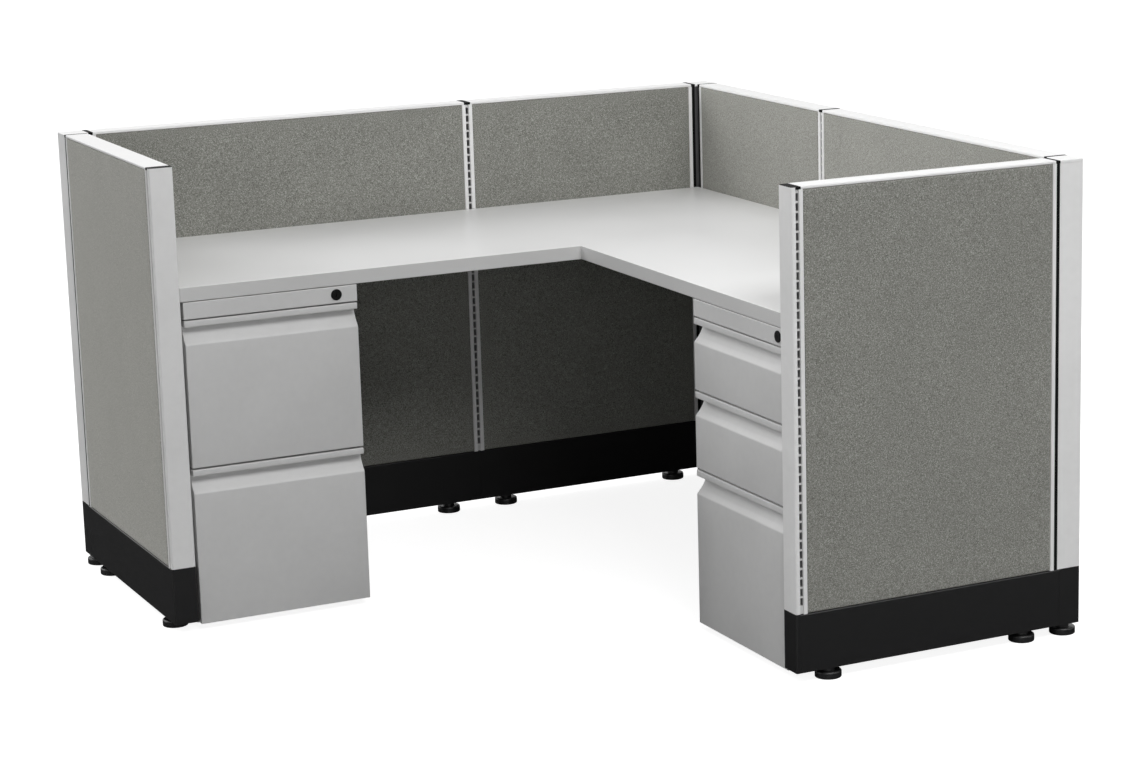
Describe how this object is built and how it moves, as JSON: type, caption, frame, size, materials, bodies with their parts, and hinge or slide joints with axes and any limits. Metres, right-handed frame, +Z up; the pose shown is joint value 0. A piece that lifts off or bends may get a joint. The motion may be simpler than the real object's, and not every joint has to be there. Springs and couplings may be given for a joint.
{
  "type": "cubicle workstation",
  "caption": "Low fabric-panel cubicle workstation with an L-shaped laminate worksurface, two lockable drawer pedestals with full-width pulls, and black base raceways.",
  "frame": {"origin": "on the floor, at the centre of the footprint", "axes": "+X to the right along the back panels, +Y from the open side to the back panels, +Z up"},
  "size_m": [1.6287, 1.6288, 0.9906],
  "materials": {
    "fabric": "woven speckled panel fabric",
    "frame_white": "satin powder coat",
    "black_plastic": "moulded, fine texture",
    "laminate": "white laminate over board",
    "pedestal_paint": "satin grey powder coat",
    "zinc_steel": "zinc plated",
    "core_steel": "painted frame steel",
    "lock_black": "black lock face"
  },
  "bodies": {
    "cubicle": {"left_wing_frame": "frame_white", "left_wing_skins": "fabric", "left_wing_top_cap": "frame_white", "left_wing_base_covers": "black_plastic", "back_left_frame": "frame_white", "back_left_skins": "fabric", "back_left_top_cap": "frame_white", "back_left_base_covers": "black_plastic", "back_right_frame": "frame_white", "back_right_skins": "fabric", "back_right_top_cap": "frame_white", "back_right_base_covers": "black_plastic", "right_rear_frame": "frame_white", "right_rear_skins": "fabric", "right_rear_top_cap": "frame_white", "right_rear_base_covers": "black_plastic", "right_front_frame": "frame_white", "right_front_skins": "fabric", "right_front_top_cap": "frame_white", "right_front_base_covers": "black_plastic", "right_wing_frame": "frame_white", "right_wing_skins": "fabric", "right_wing_top_cap": "frame_white", "right_wing_base_covers": "black_plastic", "corner_posts": "core_steel", "corner_post_covers": "frame_white", "corner_post_caps": "frame_white", "corner_base_covers": "black_plastic", "end_trims": "frame_white", "base_end_caps": "black_plastic", "top_connectors": "black_plastic", "slotted_standards": "core_steel", "panel_glides": "black_plastic", "worksurface": "laminate", "worksurface_brackets": "core_steel", "worksurface_screws": "zinc_steel", "left_pedestal_case": "pedestal_paint", "left_slide_channels": "zinc_steel", "right_pedestal_case": "pedestal_paint", "right_slide_channels": "zinc_steel", "pedestal_glides": "black_plastic"},
    "left_upper_drawer": {"left_upper_drawer_front": "pedestal_paint", "left_upper_drawer_box": "zinc_steel"},
    "left_upper_slide": {"left_upper_slide_members": "zinc_steel"},
    "left_lower_drawer": {"left_lower_drawer_front": "pedestal_paint", "left_lower_drawer_box": "zinc_steel"},
    "left_lower_slide": {"left_lower_slide_members": "zinc_steel"},
    "left_lock": {"left_lock_cylinder": "lock_black"},
    "left_lock_bar": {"left_lock_bar": "zinc_steel"},
    "right_upper_drawer": {"right_upper_drawer_front": "pedestal_paint", "right_upper_drawer_box": "zinc_steel"},
    "right_upper_slide": {"right_upper_slide_members": "zinc_steel"},
    "right_middle_drawer": {"right_middle_drawer_front": "pedestal_paint", "right_middle_drawer_box": "zinc_steel"},
    "right_middle_slide": {"right_middle_slide_members": "zinc_steel"},
    "right_lower_drawer": {"right_lower_drawer_front": "pedestal_paint", "right_lower_drawer_box": "zinc_steel"},
    "right_lower_slide": {"right_lower_slide_members": "zinc_steel"},
    "right_lock": {"right_lock_cylinder": "lock_black"},
    "right_lock_bar": {"right_lock_bar": "zinc_steel"}
  },
  "joints": [
    {"name": "left_upper_drawer_slide", "type": "slide", "parent": "cubicle", "child": "left_upper_drawer", "axis": [0, -1, 0], "range_m": [0, 0.5]},
    {"name": "left_upper_member_slide", "type": "slide", "parent": "cubicle", "child": "left_upper_slide", "axis": [0, -1, 0], "range_m": [0, 0.25]},
    {"name": "left_lower_drawer_slide", "type": "slide", "parent": "cubicle", "child": "left_lower_drawer", "axis": [0, -1, 0], "range_m": [0, 0.5]},
    {"name": "left_lower_member_slide", "type": "slide", "parent": "cubicle", "child": "left_lower_slide", "axis": [0, -1, 0], "range_m": [0, 0.25]},
    {"name": "left_lock_turn", "type": "hinge", "parent": "cubicle", "child": "left_lock", "pos_m": [-0.4196, 0.153, 0.6877], "axis": [0, -1, 0], "range_deg": [0, 90]},
    {"name": "left_lock_bar_slide", "type": "slide", "parent": "cubicle", "child": "left_lock_bar", "axis": [0, 0, -1], "range_m": [0, 0.008]},
    {"name": "right_upper_drawer_slide", "type": "slide", "parent": "cubicle", "child": "right_upper_drawer", "axis": [-1, 0, 0], "range_m": [0, 0.5]},
    {"name": "right_upper_member_slide", "type": "slide", "parent": "cubicle", "child": "right_upper_slide", "axis": [-1, 0, 0], "range_m": [0, 0.25]},
    {"name": "right_middle_drawer_slide", "type": "slide", "parent": "cubicle", "child": "right_middle_drawer", "axis": [-1, 0, 0], "range_m": [0, 0.5]},
    {"name": "right_middle_member_slide", "type": "slide", "parent": "cubicle", "child": "right_middle_slide", "axis": [-1, 0, 0], "range_m": [0, 0.25]},
    {"name": "right_lower_drawer_slide", "type": "slide", "parent": "cubicle", "child": "right_lower_drawer", "axis": [-1, 0, 0], "range_m": [0, 0.5]},
    {"name": "right_lower_member_slide", "type": "slide", "parent": "cubicle", "child": "right_lower_slide", "axis": [-1, 0, 0], "range_m": [0, 0.25]},
    {"name": "right_lock_turn", "type": "hinge", "parent": "cubicle", "child": "right_lock", "pos_m": [0.153, -0.736, 0.6877], "axis": [-1, 0, 0], "range_deg": [0, 90]},
    {"name": "right_lock_bar_slide", "type": "slide", "parent": "cubicle", "child": "right_lock_bar", "axis": [0, 0, -1], "range_m": [0, 0.008]}
  ],
  "couplings": [
    {"joint": "left_upper_member_slide", "follows": "left_upper_drawer_slide", "ratio": 0.5},
    {"joint": "left_lower_member_slide", "follows": "left_lower_drawer_slide", "ratio": 0.5},
    {"joint": "left_lock_turn", "follows": "left_lock_bar_slide", "rad_per_m": 196.34},
    {"joint": "right_upper_member_slide", "follows": "right_upper_drawer_slide", "ratio": 0.5},
    {"joint": "right_middle_member_slide", "follows": "right_middle_drawer_slide", "ratio": 0.5},
    {"joint": "right_lower_member_slide", "follows": "right_lower_drawer_slide", "ratio": 0.5},
    {"joint": "right_lock_turn", "follows": "right_lock_bar_slide", "rad_per_m": 196.34}
  ]
}
